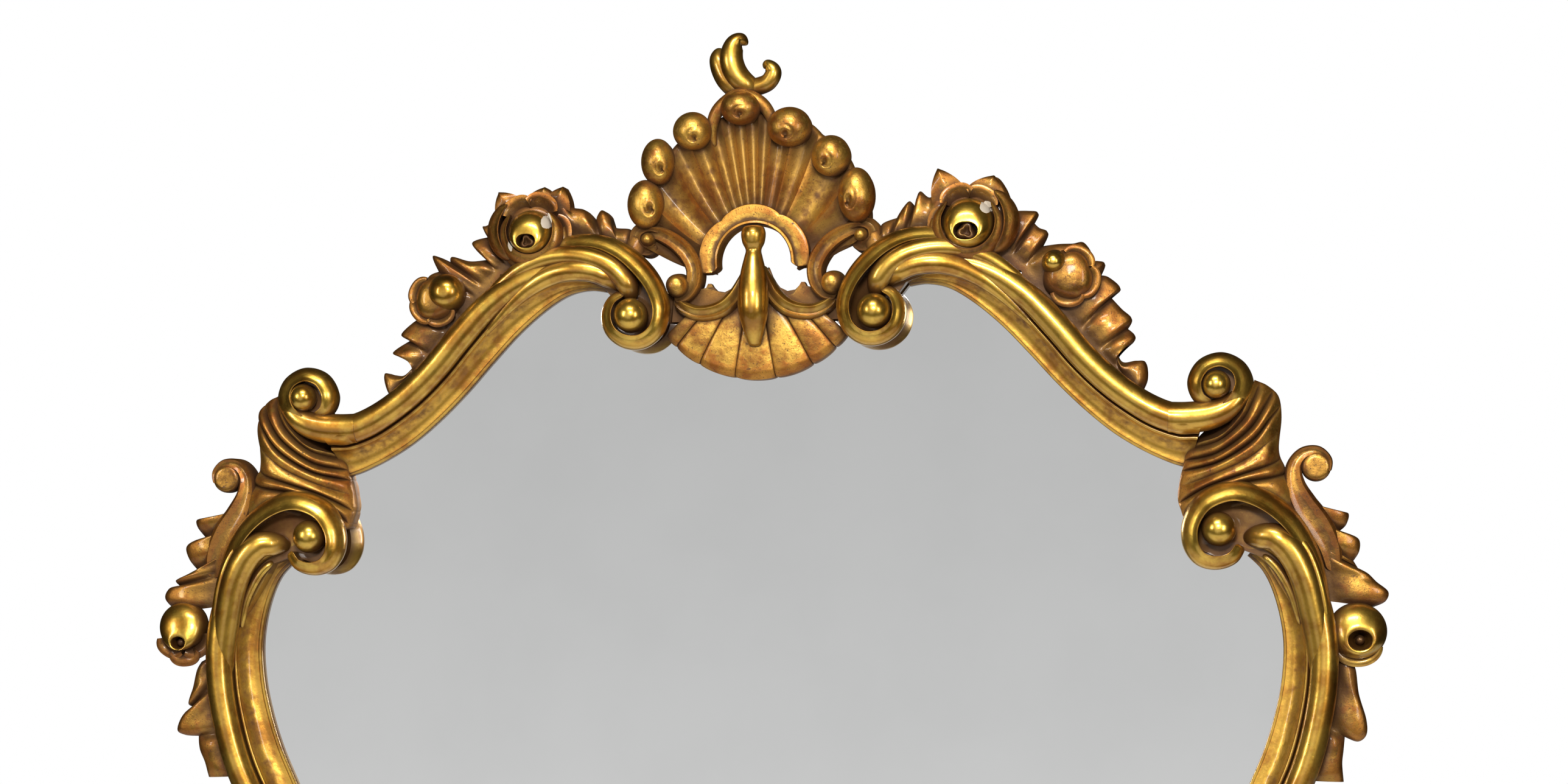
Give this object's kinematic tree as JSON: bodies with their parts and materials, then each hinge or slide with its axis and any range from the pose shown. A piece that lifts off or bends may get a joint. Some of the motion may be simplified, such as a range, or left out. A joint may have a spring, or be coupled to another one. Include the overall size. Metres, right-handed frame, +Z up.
{
  "type": "pier mirror",
  "caption": "Tall cartouche wall mirror in a carved and gilded frame with scrolls, roses, leaf borders and a pierced shell crest.",
  "frame": {"origin": "middle of the backing board's rear face, which lies on the wall", "axes": "+Z up the mirror, +Y into the wall, the carving and the glass face -Y, +X to the viewer's right"},
  "size_m": [0.915, 0.0533, 1.4963],
  "materials": {
    "burnished_gilt": "carved wood, burnished gold leaf over red-brown bole, toned dark in the hollows",
    "matt_gilt": "carved wood, matt mottled gold leaf over red-brown bole with dark specks",
    "silvered_glass": "clear glass silvered on its rear face",
    "back_ply": "bare plywood, aged",
    "hanger_steel": "dull plated steel",
    "screw_steel": "dull plated steel"
  },
  "bodies": {
    "frame": {"backing_board": "back_ply", "backing_screw_foot_left": "screw_steel", "backing_screw_foot_right": "screw_steel", "backing_screw_head_left": "screw_steel", "backing_screw_head_right": "screw_steel", "backing_screw_side_left": "screw_steel", "backing_screw_side_right": "screw_steel", "base_apron": "matt_gilt", "base_pendant": "burnished_gilt", "base_shell": "matt_gilt", "bottom_rail_left": "burnished_gilt", "bottom_rail_right": "burnished_gilt", "bud_left": "burnished_gilt", "bud_right": "burnished_gilt", "crest_apron": "matt_gilt", "crest_finial": "burnished_gilt", "crest_pendant": "burnished_gilt", "crest_shell": "matt_gilt", "foot_blossom_left": "burnished_gilt", "foot_blossom_right": "burnished_gilt", "foot_leaf_scroll_left": "matt_gilt", "foot_leaf_scroll_right": "matt_gilt", "hanger_screw_left": "screw_steel", "hanger_screw_right": "screw_steel", "hanger_strap_left": "hanger_steel", "hanger_strap_right": "hanger_steel", "inner_leaves_left": "matt_gilt", "inner_leaves_right": "matt_gilt", "inner_scroll_foot_left": "burnished_gilt", "inner_scroll_foot_right": "burnished_gilt", "inner_scroll_head_left": "burnished_gilt", "inner_scroll_head_right": "burnished_gilt", "knee_block_left": "matt_gilt", "knee_block_right": "matt_gilt", "leaf_scroll_left": "matt_gilt", "leaf_scroll_right": "matt_gilt", "lower_leaves_left": "matt_gilt", "lower_leaves_right": "matt_gilt", "lower_rose_left": "burnished_gilt", "lower_rose_right": "burnished_gilt", "lower_stile_left": "burnished_gilt", "lower_stile_right": "burnished_gilt", "mirror_glass": "silvered_glass", "outer_leaves_left": "matt_gilt", "outer_leaves_right": "matt_gilt", "rose_left": "burnished_gilt", "rose_right": "burnished_gilt", "shoulder_block_left": "matt_gilt", "shoulder_block_right": "matt_gilt", "side_blossom_left": "burnished_gilt", "side_blossom_right": "burnished_gilt", "top_rail_left": "burnished_gilt", "top_rail_right": "burnished_gilt", "upper_stile_left": "burnished_gilt", "upper_stile_right": "burnished_gilt", "waist_leaves_left": "matt_gilt", "waist_leaves_right": "matt_gilt"},
    "left_ring": {"hanger_ring_left": "hanger_steel"},
    "right_ring": {"hanger_ring_right": "hanger_steel"}
  },
  "joints": [
    {"name": "left_ring_hinge", "type": "hinge", "parent": "frame", "child": "left_ring", "pos_m": [-0.353, -0.0045, 0.51037], "axis": [1, 0, 0], "range_deg": [0, 175]},
    {"name": "right_ring_hinge", "type": "hinge", "parent": "frame", "child": "right_ring", "pos_m": [0.353, -0.0045, 0.51037], "axis": [1, 0, 0], "range_deg": [0, 175]}
  ]
}
